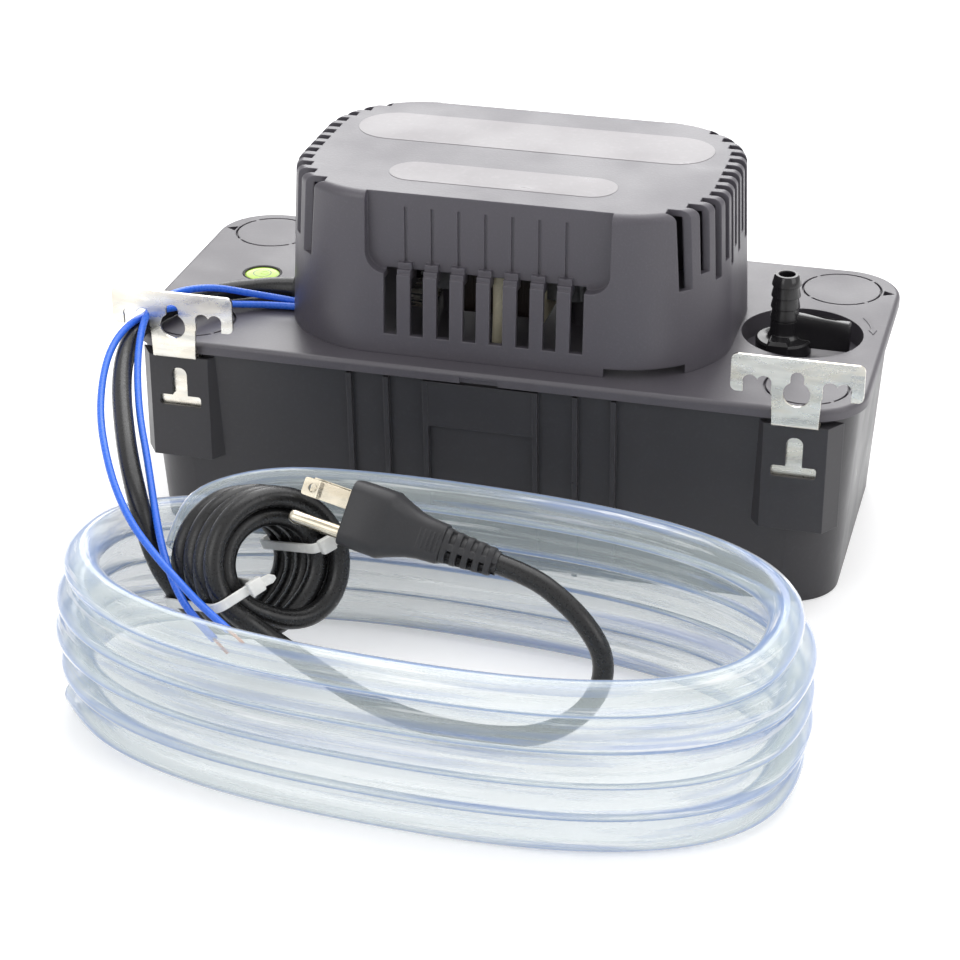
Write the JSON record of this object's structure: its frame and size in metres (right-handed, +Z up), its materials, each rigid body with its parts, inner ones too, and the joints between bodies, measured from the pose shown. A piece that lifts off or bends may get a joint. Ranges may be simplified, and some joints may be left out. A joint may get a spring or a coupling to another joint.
{
  "type": "condensate pump",
  "caption": "Automatic condensate removal pump: a rectangular tank under a vented motor hood, with a barbed check valve, hanger brackets, supply cord and coiled hose.",
  "frame": {"origin": "centre of the tank's bottom, on the surface it stands on", "axes": "+X along the tank to the check valve's end, +Y to the back, +Z up; the hanger brackets are on the front, at -Y"},
  "size_m": [0.2914, 0.3206, 0.149],
  "materials": {
    "dark_plastic": "fine texture",
    "black_gloss": "gloss",
    "vial": "gloss",
    "plated_steel": "zinc plated",
    "core_steel": "laminated",
    "bobbin": "satin",
    "winding": "varnished",
    "rotor_metal": "cast",
    "steel": "satin",
    "bronze": "sintered",
    "grey_plastic": "satin",
    "white_plastic": "gloss",
    "rubber": "matte",
    "cord_jacket": "satin",
    "blade_metal": "plated",
    "blue_wire": "satin",
    "clear_vinyl": "clear",
    "float_foam": "foamed"
  },
  "bodies": {
    "pump": {"tank": "dark_plastic", "tank_cover": "dark_plastic", "motor_cover": "dark_plastic", "level_vial": "vial", "hanger_bracket_left": "plated_steel", "hanger_bracket_right": "plated_steel", "stator_core": "core_steel", "coil_bobbin": "bobbin", "motor_winding": "winding", "lower_bearing_bracket": "plated_steel", "upper_bearing_bracket": "plated_steel", "lower_bush": "bronze", "upper_bush": "bronze", "motor_screws": "steel", "pump_housing": "grey_plastic", "inlet_strainer": "grey_plastic", "discharge_duct": "grey_plastic", "switch_bracket": "plated_steel", "run_switch": "black_gloss", "safety_switch": "black_gloss", "cord_grommet": "rubber", "power_cord_lead": "cord_jacket", "power_cord_coil": "cord_jacket", "power_cord_tail": "cord_jacket", "cable_ties": "white_plastic", "plug_body": "cord_jacket", "plug_blades": "blade_metal", "plug_ground_pin": "blade_metal", "signal_lead_a": "blue_wire", "signal_lead_b": "blue_wire", "discharge_hose": "clear_vinyl"},
    "rotor": {"motor_rotor": "rotor_metal", "motor_shaft": "steel", "cooling_fan": "grey_plastic", "impeller": "grey_plastic"},
    "float": {"float_body": "float_foam", "float_rod": "white_plastic"},
    "run_arm": {"run_lever": "steel"},
    "safety_arm": {"safety_lever": "steel"},
    "valve": {"check_valve": "black_gloss", "valve_seal": "rubber"},
    "ball": {"valve_ball": "white_plastic"}
  },
  "joints": [
    {"name": "rotor_spin", "type": "hinge", "parent": "pump", "child": "rotor", "pos_m": [0, 0.014, 0.1], "axis": [0, 0, 1], "continuous": true},
    {"name": "float_lift", "type": "slide", "parent": "pump", "child": "float", "axis": [0, 0, 1], "range_m": [0, 0.014]},
    {"name": "run_lever_swing", "type": "hinge", "parent": "pump", "child": "run_arm", "pos_m": [-0.039, -0.006, 0.098], "axis": [0, 1, 0], "range_deg": [0, 28]},
    {"name": "safety_lever_swing", "type": "hinge", "parent": "pump", "child": "safety_arm", "pos_m": [-0.039, 0.006, 0.1], "axis": [0, 1, 0], "range_deg": [0, 24]},
    {"name": "valve_twist", "type": "hinge", "parent": "pump", "child": "valve", "pos_m": [0.105, 0.002, 0.085], "axis": [0, 0, -1], "range_deg": [0, 60]},
    {"name": "valve_ball_lift", "type": "slide", "parent": "valve", "child": "ball", "axis": [0, 0, 1], "range_m": [0, 0.002]}
  ],
  "couplings": [
    {"joint": "run_lever_swing", "follows": "float_lift", "rad_per_m": 34.3},
    {"joint": "safety_lever_swing", "follows": "float_lift", "rad_per_m": 29.7}
  ]
}
